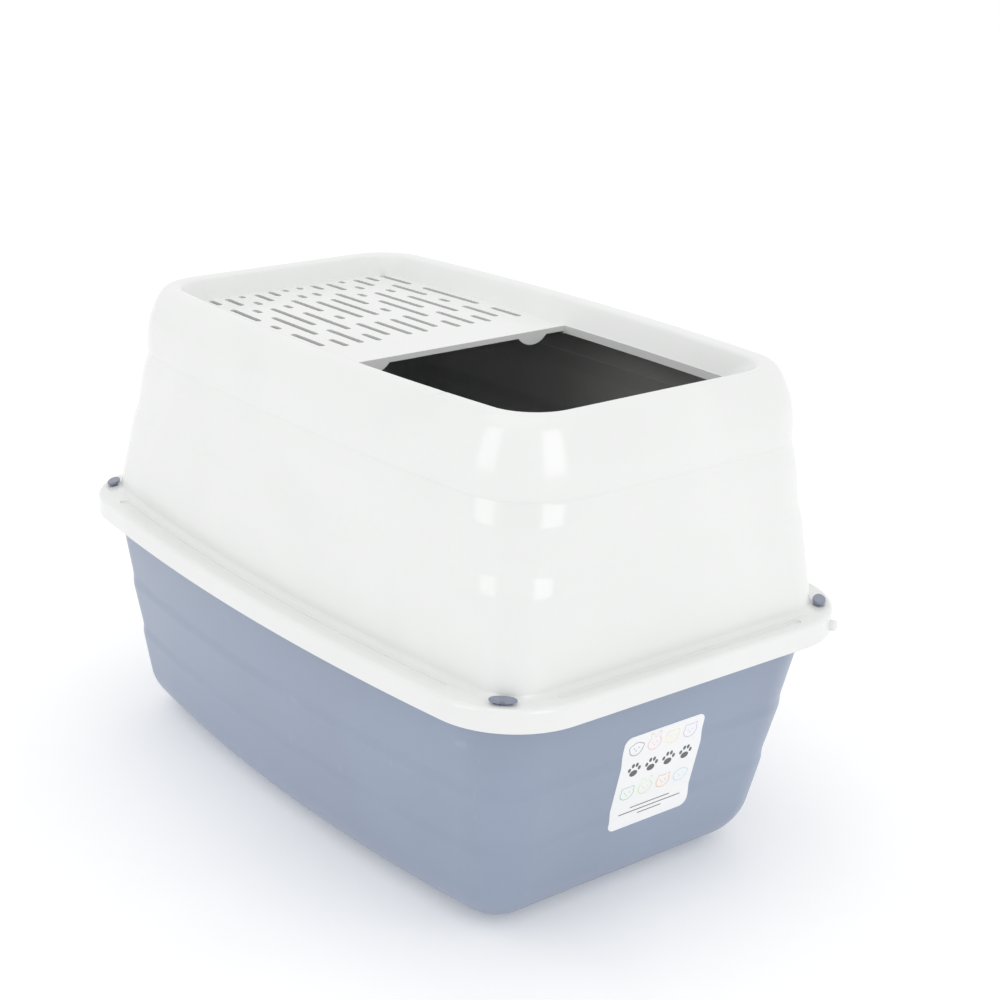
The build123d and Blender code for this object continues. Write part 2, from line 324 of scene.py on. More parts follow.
def tray_levels(size):
    """Rows of the tray's wall: out from the bottom, up to the rim, and down the inside."""
    wall = size.wall
    first = math.radians(8)

    def bottom(floor, inset):
        rows = []
        for k in range(13):
            angle = first + (math.pi / 2 - first) * k / 12
            z = floor + (TRAY_BOTTOM_RISE - floor) * (1 - math.cos(angle)) if k else floor
            rows.append(tray_level(z, inset + TRAY_BOTTOM_RISE * (1 - math.sin(angle))))
        return rows

    def side(top, inset, steps):
        return [tray_level(z, inset - ledge_offset(z, TRAY_LEDGES, TRAY_BOTTOM_RISE, RIM_Z, size.ledge))
                for z in heights(TRAY_BOTTOM_RISE, top, TRAY_LEDGES, steps)[1:]]

    rim_low = RIM_Z - wall
    edge_low = RIM_Z - size.rim_drop
    outer, inner, edge = 0.0038, 0.0060, 0.0008
    rows = bottom(0.0, 0.0) + side(rim_low, 0.0, 8)
    rows += [Level(FLANGE, rim_low, inner, 0.0), Level(FLANGE, edge_low, inner, 0.0),
             Level(FLANGE, edge_low, outer, 0.0)]
    for angle in quarter(4):
        rows.append(Level(FLANGE, RIM_Z - edge * (1 - math.sin(angle)),
                          outer + edge * (1 - math.cos(angle)), 0.0))
    return rows + list(reversed(bottom(wall, wall) + side(RIM_Z, wall, 4)))


def tray_front(z, step):
    """Y of the tray's front face at a height."""
    level = tray_level(z, 0.0)
    return level.shift - level.shape.half_length - ledge_offset(z, TRAY_LEDGES, TRAY_BOTTOM_RISE, RIM_Z, step)


# modelling helpers --------------------------------------------------
def only(*objs):
    """Selects these objects alone and makes the first one active."""
    bpy.ops.object.select_all(action="DESELECT")
    for obj in objs:
        obj.select_set(True)
    bpy.context.view_layer.objects.active = objs[0]


def primitive(add, name, **size):
    """Adds a named primitive with nothing else selected."""
    bpy.ops.object.select_all(action="DESELECT")
    add(**size)
    obj = bpy.context.object
    obj.name = obj.data.name = name
    return obj


def edit(obj, *steps):
    """Runs edit-mode steps, each on everything that the step before left selected."""
    only(obj)
    bpy.ops.object.mode_set(mode="EDIT")
    bpy.ops.mesh.select_all(action="SELECT")
    for step in steps:
        step()
    bpy.ops.object.mode_set(mode="OBJECT")
    return obj


def outwards():
    """Turns all faces of the mesh in edit mode outwards."""
    bpy.ops.mesh.select_all(action="SELECT")
    bpy.ops.mesh.normals_make_consistent(inside=False)


def wound(name, rows, capped=True):
    """A grid primitive wound round closed rows of points, its seam merged and its ends capped."""
    across, up = len(rows[0]), len(rows) - 1
    obj = primitive(bpy.ops.mesh.primitive_grid_add, name, x_subdivisions=across, y_subdivisions=up, size=1.0)
    for v in obj.data.vertices:
        column = round((v.co.x + 0.5) * across) % across
        v.co = rows[round((v.co.y + 0.5) * up)][column]
    steps = [lambda: bpy.ops.mesh.remove_doubles(threshold=1e-6)]
    if capped:
        steps.append(lambda: bpy.ops.mesh.fill_holes(sides=0))
    return edit(obj, *steps, outwards)


def shell(name, levels):
    """A closed moulding through the rows of its wall."""
    return wound(name, [[(x, y, lv.z) for x, y in outline_points(lv.shape, lv.inset, lv.shift)]
                        for lv in levels])


def raise_by(offset):
    """Extrudes what is selected in edit mode."""
    bpy.ops.mesh.extrude_region_move(TRANSFORM_OT_translate={"value": offset})


def block(name, points, low, high):
    """A filled circle primitive laid out along a closed run of points and extruded upwards."""
    obj = primitive(bpy.ops.mesh.primitive_circle_add, name, vertices=len(points), radius=1.0,
                    fill_type="NGON")
    for v, (x, y) in zip(obj.data.vertices, points):
        v.co = (x, y, low)
    return edit(obj, lambda: raise_by((0, 0, high - low)), outwards)


def box_points(x0, x1, y0, y1):
    """Corners of a rectangle, anticlockwise."""
    return [(x0, y0), (x1, y0), (x1, y1), (x0, y1)]


def applied(obj, kind, **values):
    """Adds a modifier, sets it and applies it."""
    only(obj)
    bpy.ops.object.modifier_add(type=kind)
    modifier = obj.modifiers[-1]
    for name, value in values.items():
        setattr(modifier, name, value)
    bpy.ops.object.modifier_apply(modifier=modifier.name)


def combine(obj, operation, tools):
    """Adds the tools to the piece or cuts them out of it, in one boolean."""
    only(*tools)
    if len(tools) > 1:
        bpy.ops.object.join()
    tool = bpy.context.object
    applied(obj, "BOOLEAN", object=tool, operation=operation, solver="EXACT")
    bpy.data.objects.remove(tool)


def select_edges(obj, test):
    """Leaves only the edges selected whose two ends pass the test."""
    only(obj)
    mesh = obj.data
    bpy.ops.object.mode_set(mode="EDIT")
    bpy.ops.mesh.select_mode(type="EDGE")
    bpy.ops.mesh.select_all(action="DESELECT")
    bpy.ops.object.mode_set(mode="OBJECT")
    for e in mesh.edges:
        e.select = all(test(mesh.vertices[i].co) for i in e.vertices)


def bevel_edges(obj, test, width, segments):
    """Bevels the edges that pass a test of place."""
    select_edges(obj, test)
    bpy.ops.object.mode_set(mode="EDIT")
    bpy.ops.mesh.bevel(offset=width, segments=segments, affect="EDGES")
    bpy.ops.object.mode_set(mode="OBJECT")


def soften(obj, width, angle=40.0):
    """Rounds the sharp edges and smooths the shading between them."""
    applied(obj, "BEVEL", width=width, segments=2, limit_method="ANGLE", angle_limit=math.radians(angle),
            use_clamp_overlap=True)
    smooth(obj)


def smooth(obj, angle=32.0):
    """Smooths the shading over shallow edges and keeps the flat faces flat."""
    only(obj)
    bpy.ops.object.shade_smooth_by_angle(angle=math.radians(angle))
    applied(obj, "WEIGHTED_NORMAL", keep_sharp=True)


def facing(face):
    """How far a face looks away from the middle of the box: -1 for straight inwards."""
    return face.normal.xy.dot(face.center.xy.normalized())


def paint(obj, *materials):
    """Gives a piece its materials, in order of index."""
    obj.data.materials.clear()
    for material in materials:
        obj.data.materials.append(material)


def hand_over(obj, body, slot, *nodes):
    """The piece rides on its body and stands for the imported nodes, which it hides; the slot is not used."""
    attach(obj, body)
    if nodes:
        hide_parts(*nodes)


# materials ----------------------------------------------------------
def add_node(tree, kind, inputs=(), **values):
    """A node with its settings; an input is a socket to link or a value to set."""
    made = tree.nodes.new(kind)
    for name, value in values.items():
        setattr(made, name, value)
    for key, value in dict(inputs).items():
        if isinstance(value, bpy.types.NodeSocket):
            tree.links.new(value, made.inputs[key])
        else:
            made.inputs[key].default_value = value
    return made


def new_group(name, inputs, outputs):
    """An empty shader group with its sockets, and its two end nodes."""
    tree = bpy.data.node_groups.new(name, "ShaderNodeTree")
    for label, kind, value in inputs:
        socket = tree.interface.new_socket(name=label, in_out="INPUT", socket_type=kind)
        if value is not None:
            socket.default_value = value
    for label, kind in outputs:
        tree.interface.new_socket(name=label, in_out="OUTPUT", socket_type=kind)
    return tree, tree.nodes.new("NodeGroupInput"), tree.nodes.new("NodeGroupOutput")


def moulded_grain():
    """Fine grain of moulded plastic, and the slow change of tone across a large moulding."""
    if "Moulded Grain" in bpy.data.node_groups:
        return bpy.data.node_groups["Moulded Grain"]
    tree, start, end = new_group(
        "Moulded Grain",
        (("Vector", "NodeSocketVector", None), ("Grain Scale", "NodeSocketFloat", 900.0),
         ("Flow Scale", "NodeSocketFloat", 9.0)),
        (("Height", "NodeSocketFloat"), ("Tone", "NodeSocketFloat")))
    grain = add_node(tree, "ShaderNodeTexNoise", {"Vector": start.outputs["Vector"],
                     "Scale": start.outputs["Grain Scale"], "Detail": 3.0, "Roughness": 0.6})
    flow = add_node(tree, "ShaderNodeTexNoise", {"Vector": start.outputs["Vector"],
                    "Scale": start.outputs["Flow Scale"], "Detail": 2.0, "Distortion": 0.8})
    sink = add_node(tree, "ShaderNodeMath", {0: flow.outputs["Fac"], 1: 0.6, 2: grain.outputs["Fac"]},
                    operation="MULTIPLY_ADD")
    tone = add_node(tree, "ShaderNodeMapRange", {"Value": flow.outputs["Fac"], "From Min": 0.3,
                    "From Max": 0.7}, interpolation_type="SMOOTHSTEP")
    tree.links.new(sink.outputs[0], end.inputs["Height"])
    tree.links.new(tone.outputs["Result"], end.inputs["Tone"])
    return tree


def handling_scuffs():
    """Sparse hair scratches, as a mask."""
    if "Handling Scuffs" in bpy.data.node_groups:
        return bpy.data.node_groups["Handling Scuffs"]
    tree, start, end = new_group(
        "Handling Scuffs",
        (("Vector", "NodeSocketVector", None), ("Amount", "NodeSocketFloat", 0.5)),
        (("Mask", "NodeSocketFloat"),))
    masks = []
    for turn, squeeze in ((0.5, (14.0, 260.0, 60.0)), (-0.9, (220.0, 16.0, 50.0))):
        lay = add_node(tree, "ShaderNodeMapping", {"Vector": start.outputs["Vector"],
                       "Rotation": (0.3, turn, turn), "Scale": squeeze})
        hair = add_node(tree, "ShaderNodeTexNoise", {"Vector": lay.outputs["Vector"], "Scale": 1.0,
                        "Detail": 2.0})
        masks.append(add_node(tree, "ShaderNodeMapRange", {"Value": hair.outputs["Fac"],
                     "From Min": 0.66, "From Max": 0.74}).outputs["Result"])
    both = add_node(tree, "ShaderNodeMath", {0: masks[0], 1: masks[1]}, operation="MAXIMUM")
    patch = add_node(tree, "ShaderNodeTexNoise", {"Vector": start.outputs["Vector"], "Scale": 14.0})
    where = add_node(tree, "ShaderNodeMapRange", {"Value": patch.outputs["Fac"], "From Min": 0.5,
                     "From Max": 0.62})
    kept = add_node(tree, "ShaderNodeMath", {0: both.outputs[0], 1: where.outputs["Result"]},
                    operation="MULTIPLY")
    out = add_node(tree, "ShaderNodeMath", {0: kept.outputs[0], 1: start.outputs["Amount"]},
                   operation="MULTIPLY")
    tree.links.new(out.outputs[0], end.inputs["Mask"])
    return tree


def plastic(name, base, tone_shift, roughness, grain_scale, bump, scuffs, coat=0.0):
    """Moulded plastic: tone that drifts, fine grain, and scuffs that dull the gloss."""
    material = bpy.data.materials.new(name)
    material.use_nodes = True
    tree = material.node_tree
    shader = tree.nodes["Principled BSDF"]
    place = add_node(tree, "ShaderNodeTexCoord")
    grain = add_node(tree, "ShaderNodeGroup", node_tree=moulded_grain())
    wear = add_node(tree, "ShaderNodeGroup", node_tree=handling_scuffs())
    for group in (grain, wear):
        tree.links.new(place.outputs["Object"], group.inputs["Vector"])
    grain.inputs["Grain Scale"].default_value = grain_scale
    wear.inputs["Amount"].default_value = scuffs
    pale = [min(1.0, c * (1 + tone_shift)) for c in base]
    deep = [c * (1 - tone_shift) for c in base]
    tone = add_node(tree, "ShaderNodeMix", {"Factor": grain.outputs["Tone"], "A": (*deep, 1.0),
                    "B": (*pale, 1.0)}, data_type="RGBA")
    scuffed = [c * 0.5 + 0.45 for c in base]
    worn = add_node(tree, "ShaderNodeMix", {"Factor": wear.outputs["Mask"], "A": tone.outputs["Result"],
                    "B": (*scuffed, 1.0)}, data_type="RGBA")
    tree.links.new(worn.outputs["Result"], shader.inputs["Base Color"])
    gloss = add_node(tree, "ShaderNodeMapRange", {"Value": grain.outputs["Tone"],
                     "To Min": roughness * 0.88, "To Max": roughness * 1.12})
    dull = add_node(tree, "ShaderNodeMath", {0: wear.outputs["Mask"], 1: 0.25,
                    2: gloss.outputs["Result"]}, operation="MULTIPLY_ADD")
    tree.links.new(dull.outputs[0], shader.inputs["Roughness"])
    relief = add_node(tree, "ShaderNodeBump", {"Height": grain.outputs["Height"], "Strength": bump,
                      "Distance": 0.0002})
    tree.links.new(relief.outputs["Normal"], shader.inputs["Normal"])
    shader.inputs["IOR"].default_value = 1.5
    shader.inputs["Coat Weight"].default_value = coat
    shader.inputs["Coat Roughness"].default_value = 0.12
    return material


# the pieces ---------------------------------------------------------
SLOT_PATTERNS = (
    ((0.206, 0.165), (0.148, 0.075), (0.058, 0.022)),
    ((0.208, 0.190), (0.171, 0.125), (0.107, 0.094), (0.076, 0.032)),
    ((0.206, 0.178), (0.160, 0.148), (0.130, 0.064), (0.046, 0.022)),
    ((0.208, 0.200), (0.184, 0.172), (0.156, 0.090), (0.072, 0.024)),
)
SLOT_ORDER = (3, 1, 2, 3, 2, 1, 0)   # pattern of each row, from the middle of the panel outwards


def slot_cutters(wall):
    """Round-ended cutters in staggered rows that follow the bow of the panel's sides."""
    cutters = []
    for row, which in enumerate(SLOT_ORDER):
        x0 = SLOT_PITCH * (row + 0.5)
        bend = DISH_FLOOR.bow * x0 / DISH_FLOOR.half_width
        for back, front in SLOT_PATTERNS[which]:
            reach = max((back - front - SLOT_WIDTH) / 2, SLOT_WIDTH * 0.15)
            mid = (back + front) / 2
            along = (mid - DISH_SHIFT) / DISH_FLOOR.half_length
            x = x0 + bend * (1 - along ** 2)
            lean = 2 * bend * along / DISH_FLOOR.half_length * reach
            for side in (-1, 1):
                path = ((side * (x + lean), mid - reach), (side * (x - lean), mid + reach))
                cutters.append(block("slot", band(path, SLOT_WIDTH), PANEL_Z - wall - SINK, PANEL_Z + SINK))
    return cutters


def gutter_cutters(size):
    """The four runs of the flange's gutter, between the corner pads."""
    inset = size.gutter_from + size.gutter_width / 2
    floor = FLANGE_Z - size.gutter_depth
    long_y, short_x = 0.2185, 0.1045   # where the middles of the round ends are
    steps = [long_y * (2 * k / 40 - 1) for k in range(41)]
    cutters = []
    for side in (-1, 1):
        bowed = [(side * side_x(FLANGE, y, inset), y) for y in steps]
        end_y = side * (FLANGE.half_length - inset)
        straight = [(-short_x, end_y), (short_x, end_y)]
        for path in (bowed, straight):
            cutter = block("gutter", band(path, size.gutter_width), floor, FLANGE_Z + 0.002)
            bevel_edges(cutter, lambda co: co.z < floor + 1e-5, size.gutter_depth * 0.85, 4)
            cutters.append(cutter)
    return cutters


def cylinder(name, radius, low, high, x=0.0, y=0.0, vertices=32):
    """An upright cylinder between two heights."""
    made = primitive(bpy.ops.mesh.primitive_cylinder_add, name, radius=radius, depth=high - low,
                     vertices=vertices, location=(x, y, (low + high) / 2))
    bpy.ops.object.transform_apply(location=True, rotation=True, scale=True)
    return made


def pin_places():
    """Where the pins stand, in the order of their names."""
    for sx, sy in ((-1, -1), (1, -1), (-1, 1), (1, 1)):
        yield sx * PIN_XY[0], sy * PIN_XY[1]


def front_part(points, back):
    """The points that lie in front of a place."""
    return [(x, y) for x, y in points if y < back]


def lip_block():
    """The lip that hangs round the front of the entry opening."""
    centre = (LIP_FRONT - LIP_BACK) / 2
    ring = outline_points(DISH_FLOOR, centre, DISH_SHIFT)
    start = min(range(len(ring)), key=lambda k: ring[k][0] * 1000 if ring[k][1] > PANEL_FRONT_Y else 1e9)
    ring = ring[start:] + ring[:start]
    path = front_part(ring, LIP_END_Y)
    return block("lip", band(path, LIP_FRONT + LIP_BACK, 2), PANEL_Z - LIP_DROP, PANEL_Z - 0.0006)


def mouth_cutter():
    """Cuts the entry opening: the panel's outline in front of the bar, in order round its middle."""
    x = side_x(DISH_FLOOR, PANEL_FRONT_Y - DISH_SHIFT, MOUTH_INSET)
    middle_y = -0.1
    ring = front_part(outline_points(DISH_FLOOR, MOUTH_INSET, DISH_SHIFT), PANEL_FRONT_Y - SINK)
    ring += [(-x, PANEL_FRONT_Y), (x, PANEL_FRONT_Y)]
    ring.sort(key=lambda p: math.atan2(p[1] - middle_y, p[0]))
    return block("mouth", ring, PANEL_Z - 0.030, TOP_Z + 0.010)


def tab_block(x, wall):
    """A rounded tab that hangs from the panel's front edge."""
    disc = primitive(bpy.ops.mesh.primitive_cylinder_add, "tab", radius=TAB_RADIUS, depth=wall + SINK,
                     vertices=96, rotation=(math.pi / 2, 0, 0),
                     location=(x, PANEL_FRONT_Y + (wall - SINK) / 2, PANEL_Z + TAB_RISE))
    bpy.ops.object.transform_apply(location=True, rotation=True, scale=True)
    return edit(disc, lambda: bpy.ops.mesh.bisect(plane_co=(0, 0, PANEL_Z - TAB_TOP), plane_no=(0, 0, 1),
                                                  clear_outer=True, use_fill=True), outwards)


class LITTER_OT_hood(bpy.types.Operator):
    """Build the white hood with its entry opening, slotted panel and flange"""
    bl_idname = "litter_box.hood"
    bl_label = "Hood"

    def execute(self, context):
        size = context.scene.litter_hood
        wall = size.wall
        hood = shell("hood_moulding", hood_levels(size))
        bar = block("bar", box_points(-BAR_HALF_LENGTH, BAR_HALF_LENGTH, PANEL_FRONT_Y - SINK,
                                      PANEL_FRONT_Y + wall), PANEL_Z - BAR_DEPTH, PANEL_Z - 0.0008)
        lug = primitive(bpy.ops.mesh.primitive_cube_add, "lug", size=1.0, rotation=(0, 0, -math.pi / 3),
                        location=(*LUG_AT, SKIRT_Z + LUG_RISE))
        lug.scale = LUG
        only(lug)
        bpy.ops.object.transform_apply(location=True, rotation=True, scale=True)
        edit(lug, lambda: bpy.ops.mesh.bevel(offset=LUG_ROUNDING, segments=3, affect="EDGES"))
        combine(hood, "UNION", [lip_block(), lug])
        combine(hood, "UNION", [bar])
        combine(hood, "UNION", [tab_block(side * TAB_X, wall) for side in (-1, 1)])
        thumb = primitive(bpy.ops.mesh.primitive_cylinder_add, "thumb", radius=THUMB_RADIUS, depth=0.030,
                          vertices=96, rotation=(0, math.pi / 2, 0),
                          location=(*THUMB_AT, TOP_Z - THUMB_DEPTH + THUMB_RADIUS))
        bpy.ops.object.transform_apply(location=True, rotation=True, scale=True)
        holes = [cylinder("hole", PIN_HOLE_RADIUS, RIM_Z - 0.002, FLANGE_Z + 0.002, x, y)
                 for x, y in pin_places()]
        combine(hood, "DIFFERENCE", [mouth_cutter(), thumb] + holes + gutter_cutters(size))
        bevel_edges(hood, lambda co: abs(co.y - PANEL_FRONT_Y) < 1e-5 and abs(co.z - PANEL_Z) < 1e-5,
                    size.panel_roll, 5)
        combine(hood, "DIFFERENCE", slot_cutters(wall))
        soften(hood, size.edge)
        # Second material: painted shade, a darker grey for the inner faces, which are really the same white
        # as the outside. The loop below picks the faces below the lip and the underside of the top.
        paint(hood, plastic("Hood White", size.outside, 0.012, 0.15, 700.0, 0.035, 0.10),
              plastic("Hood Inside Painted Shade", size.inside, 0.05, 0.42, 700.0, 0.06, 0.05))
        for face in hood.data.polygons:
            below_lip = RIM_Z + GAP / 2 < face.center.z < PANEL_Z - LIP_DROP - 0.0004
            x, y, _ = face.center
            within = abs(y - HOOD_SHIFT / 2) < HOOD_FOOT.half_length and abs(x) < side_x(HOOD_FOOT, y, 0.0)
            under_top = face.normal.z < -0.3 and face.center.z > SHOULDER_Z
            face.material_index = int(below_lip and within and facing(face) < -0.3 or under_top)
        hand_over(hood, "hood", "hood", "hood")
        return {"FINISHED"}


class LITTER_OT_tray(bpy.types.Operator):
    """Build the blue-grey tray with its ledges and turned-down rim"""
    bl_idname = "litter_box.tray"
    bl_label = "Tray"

    def execute(self, context):
        size = context.scene.litter_tray
        tray = shell("tray_moulding", tray_levels(size))
        holes = [cylinder("hole", PIN_HOLE_RADIUS, RIM_Z - 0.006, RIM_Z + 0.002, x, y)
                 for x, y in pin_places()]
        combine(tray, "DIFFERENCE", holes)
        soften(tray, 0.0004)
        # Second material: painted shade, darker than the tray's own blue-grey, for the inner faces below the
        # rim that the loop below picks.
        paint(tray, plastic("Tray Blue Grey", size.outside, 0.03, 0.36, 600.0, 0.08, 0.12, 0.05),
              plastic("Tray Inside Painted Shade", size.inside, 0.04, 0.48, 600.0, 0.08, 0.10))
        for face in tray.data.polygons:
            below_rim = face.center.z < RIM_Z - size.wall / 2
            within = abs(face.center.y) < TRAY_TOP.half_length
            face.material_index = int(below_rim and within and (facing(face) < -0.3 or face.normal.z > 0.3))
        hand_over(tray, "tray", "tray", "tray")
        return {"FINISHED"}


def locking_pin(name, x, y, size, material):
    """One pin: an oval head with a small notch, on an oval neck and a round shank."""
    sx, sy = math.copysign(1, x), math.copysign(1, y)
    root = math.sqrt(0.5)
    low = FLANGE_Z + size.head_gap
    top = low + size.head_thickness

    def oval(inset):
        """The head's outline, long across the corner of the flange."""
        turns = [2 * math.pi * k / 64 for k in range(64)]
        local = [((size.head_length / 2 - inset) * math.cos(t), (size.head_width / 2 - inset) * math.sin(t))
                 for t in turns]
        return [(x + sx * (v - u) * root, y + sy * (v + u) * root) for u, v in local]

    head = block(name, oval(0.0), low, top)
    bevel_edges(head, lambda co: co.z > top - 1e-5, size.head_rounding, 4)
    tip = RIM_Z - size.shank_depth
    shank = cylinder("shank", size.shank_radius, tip, low + SINK, x, y)
    bevel_edges(shank, lambda co: co.z < tip + 1e-5, 0.001, 2)
    combine(head, "UNION", [block("neck", oval(size.neck_inset), FLANGE_Z, low + 0.0006)])
    combine(head, "UNION", [shank])
    out = (size.head_width / 2 + 0.0006) * root
    combine(head, "DIFFERENCE", [cylinder("notch", size.notch_radius, FLANGE_Z + 0.0003, top + 0.002,
                                          x + sx * out, y + sy * out, 24)])
    soften(head, 0.0002)
    paint(head, material)
    node = name.removeprefix("locking_")
    hand_over(head, node, "pins", node)


class LITTER_OT_pins(bpy.types.Operator):
    """Build the four pins that lock the hood to the tray"""
    bl_idname = "litter_box.pins"
    bl_label = "Locking Pins"

    def execute(self, context):
        size = context.scene.litter_pins
        material = plastic("Pin Blue Grey", size.body, 0.03, 0.30, 1400.0, 0.06, 0.15, 0.1)
        for name, (x, y) in zip(PIN_NAMES, pin_places()):
            locking_pin("locking_" + name, x, y, size, material)
        return {"FINISHED"}


# label --------------------------------------------------------------
def lay_on_tray(obj, lift, thickness):
    """Bends a flat drawing in X and Z over the tray's front face and gives it its thickness."""
    step = bpy.context.scene.litter_tray.ledge
    zs = [v.co.z for v in obj.data.vertices]
    cuts = [z for z in heights(TRAY_BOTTOM_RISE, RIM_Z, TRAY_LEDGES) if min(zs) + 1e-5 < z < max(zs) - 1e-5]

    def cut(z):
        def step_here():
            bpy.ops.mesh.select_all(action="SELECT")
            bpy.ops.mesh.bisect(plane_co=(0, 0, z), plane_no=(0, 0, 1))
        return step_here

    edit(obj, *[cut(z) for z in cuts])
    for v in obj.data.vertices:
        v.co.y = tray_front(v.co.z, step) - lift
    edit(obj, lambda: raise_by((0, -thickness, 0)), outwards)


def flat_shape(name, points):
    """A filled circle primitive laid out along a closed run of points in X and Z."""
    obj = primitive(bpy.ops.mesh.primitive_circle_add, name, vertices=len(points), radius=1.0,
                    fill_type="NGON")
    for v, (x, z) in zip(obj.data.vertices, points):
        v.co = (x, 0.0, z)
    return obj


def round_box(x, z, width, height, corner, steps=8):
    """Points round a rectangle with round corners."""
    points = []
    for k, (sx, sz) in enumerate(((1, -1), (1, 1), (-1, 1), (-1, -1))):
        cx, cz = x + sx * (width / 2 - corner), z + sz * (height / 2 - corner)
        for n in range(steps + 1):
            angle = math.pi / 2 * (k - 1 + n / steps)
            points.append((cx + corner * math.cos(angle), cz + corner * math.sin(angle)))
    return points


def face_line(x, z, radius, ear, width):
    """Two closed rows of points, for the outline of an animal's face with its ears."""
    ear_at, ear_high, ear_half = (math.radians(ear[0]), ear[1], math.radians(ear[2]))
    rows = ([], [])
    for k in range(72):
        angle = 2 * math.pi * k / 72
        nearest = min(abs(angle - ear_at), abs(angle - (math.pi - ear_at)))
        grow = 1 + ear_high * max(0.0, 1 - (nearest / ear_half) ** ear[3])
        for row, out in zip(rows, (-width / 2, width / 2)):
            reach = radius * grow + out
            row.append((x + reach * math.cos(angle) * 1.1, 0.0, z + reach * math.sin(angle) * 0.95))
    return rows


# ears: their angle above level, height, half width and how rounded they are
CAT, BEAR, RABBIT, DOG = (52, 0.42, 20, 1.0), (48, 0.26, 22, 2.6), (68, 0.80, 15, 2.2), (22, 0.16, 24, 2.4)
PRINTS = (
    (("Ink Grey", (0.42, 0.42, 0.43)), DOG), (("Ink Pink", (0.87, 0.56, 0.60)), RABBIT),
    (("Ink Yellow", (0.88, 0.80, 0.42)), BEAR), (("Ink Lilac", (0.64, 0.57, 0.80)), CAT),
    (("Ink Green", (0.36, 0.70, 0.48)), BEAR), (("Ink Lime", (0.64, 0.84, 0.42)), RABBIT),
    (("Ink Orange", (0.90, 0.55, 0.35)), CAT), (("Ink Blue", (0.52, 0.76, 0.88)), DOG),
)


def blob(name, x, z, rx, rz, steps=20):
    """A flat ellipse of print."""
    turns = [2 * math.pi * k / steps for k in range(steps)]
    return flat_shape(name, [(x + rx * math.cos(t), z + rz * math.sin(t)) for t in turns])


def paw(x, z, size):
    """A paw print: one pad and four toes."""
    toes = ((-0.78, 0.25), (-0.30, 0.78), (0.30, 0.78), (0.78, 0.25))
    marks = [blob("pad", x, z - size * 0.38, size * 0.62, size * 0.46)]
    for tx, tz in toes:
        marks.append(blob("toe", x + tx * size, z + tz * size, size * 0.23, size * 0.31))
    return marks


class LITTER_OT_label(bpy.types.Operator):
    """Build the printed label on the tray's front"""
    bl_idname = "litter_box.label"
    bl_label = "Label"

    def execute(self, context):
        size = context.scene.litter_label
        mid = (label_low + label_high) / 2
        wide, high = label_high.x - label_low.x, label_high.z - label_low.z
        sheet = flat_shape("label_sheet", round_box(mid.x, mid.z, wide, high, size.corner))
        lift, ink = size.thickness - 0.00005, 0.00004   # the print stands just proud of the sheet
        lay_on_tray(sheet, 0.0, lift)
        smooth(sheet)
        paint(sheet, plastic("Label Stock", size.paper, 0.008, 0.34, 1500.0, 0.04, 0.05))
        hand_over(sheet, "tray", "label", "label")
        for k, ((name, tint), ear) in enumerate(PRINTS):
            x = mid.x + (k % 4 - 1.5) * wide * 0.225
            z = label_high.z - high * (0.145 if k < 4 else 0.62)
            radius = wide * 0.074
            face = wound(f"label_face_{k + 1}", face_line(x, z, radius, ear, size.line), capped=False)
            marks = [blob("eye", x + side * radius * 0.38, z + radius * 0.12, 0.00055, 0.00065, 10)
                     for side in (-1, 1)]
            marks.append(blob("nose", x, z - radius * 0.28, 0.00080, 0.00050, 10))
            only(face, *marks)
            bpy.ops.object.join()
            lay_on_tray(face, lift, ink)
            paint(face, plastic(name, tint, 0.06, 0.40, 2500.0, 0.05, 0.10))
            hand_over(face, "tray", "label")
        marks = []
        for k in range(4):
            marks += paw(mid.x + (k - 1.5) * wide * 0.215, label_high.z - high * 0.375, wide * 0.078)
        for k, share in enumerate((0.50, 0.78, 0.30)):
            z = label_high.z - high * (0.805 + 0.04 * k)
            marks.append(flat_shape("rule", round_box(mid.x, z, wide * share, 0.0007, 0.0003, 3)))
        only(*marks)
        bpy.ops.object.join()
        print_marks = bpy.context.object
        print_marks.name = print_marks.data.name = "label_marks"
        lay_on_tray(print_marks, lift, ink)
        paint(print_marks, plastic("Ink Dark Grey", size.print_grey, 0.06, 0.40, 2500.0, 0.05, 0.10))
        hand_over(print_marks, "tray", "label")
        return {"FINISHED"}


# stage --------------------------------------------------------------
# name, azimuth, distance, height, size, power, and whether it lights the surface and shows in its gloss
LIGHTS = (
    ("key_front", -28.0, 2.4, 1.4, (1.6, 1.6), 4.2, True, False),
    ("overhead", 100.0, 0.7, 2.3, (2.2, 2.2), 6.0, True, True),
    ("strip_left", 90.0, 2.3, 1.13, (1.05, 2.0), 11.0, False, True),
    ("strip_front", 8.0, 2.3, 1.13, (1.05, 2.0), 14.0, False, True),
)
WORLD_STRENGTH = 0.93
AIM_HEIGHT = 0.2


def softbox(name, azimuth, distance, height, size, power, diffuse, gloss):
    """A rectangular light at an azimuth round the box, 0 in front and 90 on the left."""
    data = bpy.data.lights.new(name, "AREA")
    data.shape = "RECTANGLE"
    data.size, data.size_y = size
    data.energy = power
    light = bpy.data.objects.new(name, data)
    bpy.context.scene.collection.objects.link(light)
    turn = math.radians(azimuth)
    place = Vector((-math.sin(turn) * distance, -math.cos(turn) * distance, height))
    light.location = place
    aim = Vector((0.0, 0.0, AIM_HEIGHT if diffuse else height))
    light.rotation_euler = (aim - place).to_track_quat("-Z", "Y").to_euler()
    light.visible_camera = False
    light.visible_diffuse = diffuse
    light.visible_glossy = gloss


